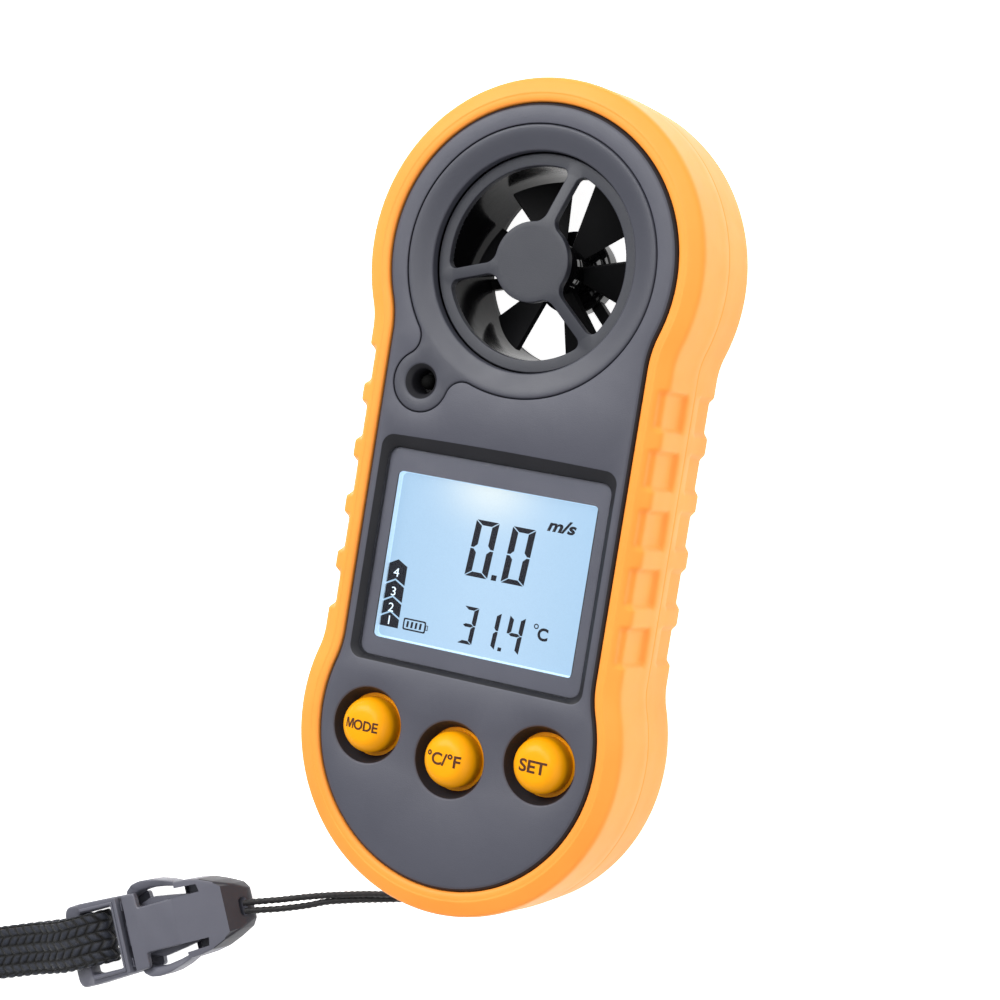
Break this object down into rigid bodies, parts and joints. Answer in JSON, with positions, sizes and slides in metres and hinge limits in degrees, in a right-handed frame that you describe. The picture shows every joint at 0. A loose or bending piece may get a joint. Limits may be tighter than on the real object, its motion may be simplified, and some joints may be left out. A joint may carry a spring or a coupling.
{
  "type": "handheld vane anemometer",
  "caption": "Pocket wind and temperature meter with a round vane duct, lit display, domed keys, rubber boot and a wrist strap on a side-release buckle.",
  "frame": {"origin": "middle of the meter's footprint, on the surface its back rests on", "axes": "+X to the meter's right as its face is read, +Y towards the vane head, +Z out of the face"},
  "size_m": [0.1852, 0.1866, 0.025],
  "materials": {
    "boot_rubber": "satin moulded rubber",
    "panel_plastic": "fine matt grain",
    "black_plastic": "polished",
    "buckle_plastic": "satin",
    "lens_clear": "clear polished window",
    "gasket_foam": "matt foam tape",
    "lcd": "liquid crystal cell",
    "lightguide": "clear light guide",
    "button_rubber": "glossy domes",
    "zebra": "layered silicone",
    "board": "solder mask",
    "component_black": "moulded component",
    "component_steel": "plated",
    "component_ceramic": "ceramic",
    "cell_jacket": "plain jacket",
    "spring_steel": "nickel plated",
    "brass": "turned",
    "magnet": "bonded magnet",
    "cord": "braided",
    "webbing": "woven tape"
  },
  "bodies": {
    "case": {"rubber_boot": "boot_rubber", "front_shell": "panel_plastic", "rear_shell": "black_plastic", "vane_bezel": "panel_plastic", "front_grille": "panel_plastic", "duct_front": "black_plastic", "duct_rear": "black_plastic", "rear_grille": "black_plastic", "front_bearing": "brass", "rear_bearing": "brass", "pickup_sensor": "component_black", "thermistor": "component_black", "display_lens": "lens_clear", "lens_gasket": "gasket_foam", "lcd_glass": "lcd", "lcd_backlight": "lightguide", "lcd_frame": "component_black", "zebra_strip": "zebra", "switch_left": "component_steel", "switch_middle": "component_steel", "switch_right": "component_steel", "main_board": "board", "display_driver": "component_black", "crystal": "component_steel", "capacitors": "component_ceramic", "buzzer": "component_black", "battery_cell_left": "cell_jacket", "battery_cell_middle": "cell_jacket", "battery_cell_right": "cell_jacket", "contact_springs": "spring_steel", "contact_plates": "spring_steel", "case_screws": "component_steel", "board_screws": "component_steel", "lanyard_pin": "component_steel", "string_loop": "cord", "buckle_socket": "buckle_plastic", "buckle_frame": "buckle_plastic", "wrist_strap": "webbing"},
    "impeller": {"impeller": "black_plastic", "impeller_shaft": "component_steel", "impeller_magnet": "magnet"},
    "left_button": {"button_left": "button_rubber"},
    "middle_button": {"button_middle": "button_rubber"},
    "right_button": {"button_right": "button_rubber"},
    "battery_door": {"battery_cover": "black_plastic"},
    "left_prong": {"buckle_prong_left": "buckle_plastic"},
    "right_prong": {"buckle_prong_right": "buckle_plastic"}
  },
  "joints": [
    {"name": "vane_spin", "type": "hinge", "parent": "case", "child": "impeller", "pos_m": [0, 0.0406, 0.01], "axis": [0, 0, 1], "continuous": true},
    {"name": "left_button_press", "type": "slide", "parent": "case", "child": "left_button", "axis": [0, 0, -1], "range_m": [0, 0.0008], "stiffness_N_per_m": 900},
    {"name": "middle_button_press", "type": "slide", "parent": "case", "child": "middle_button", "axis": [0, 0, -1], "range_m": [0, 0.0008], "stiffness_N_per_m": 900},
    {"name": "right_button_press", "type": "slide", "parent": "case", "child": "right_button", "axis": [0, 0, -1], "range_m": [0, 0.0008], "stiffness_N_per_m": 900},
    {"name": "battery_door_hinge", "type": "hinge", "parent": "case", "child": "battery_door", "pos_m": [0, 0.0002, 0.0024], "axis": [1, 0, 0], "range_deg": [0, 75]},
    {"name": "left_prong_pinch", "type": "hinge", "parent": "case", "child": "left_prong", "pos_m": [-0.07258, -0.09041, 0.0033], "axis": [0, 0, -1], "range_deg": [0, 6], "stiffness_Nm_per_rad": 0.6},
    {"name": "right_prong_pinch", "type": "hinge", "parent": "case", "child": "right_prong", "pos_m": [-0.06784, -0.10022, 0.0033], "axis": [0, 0, 1], "range_deg": [0, 6], "stiffness_Nm_per_rad": 0.6}
  ]
}
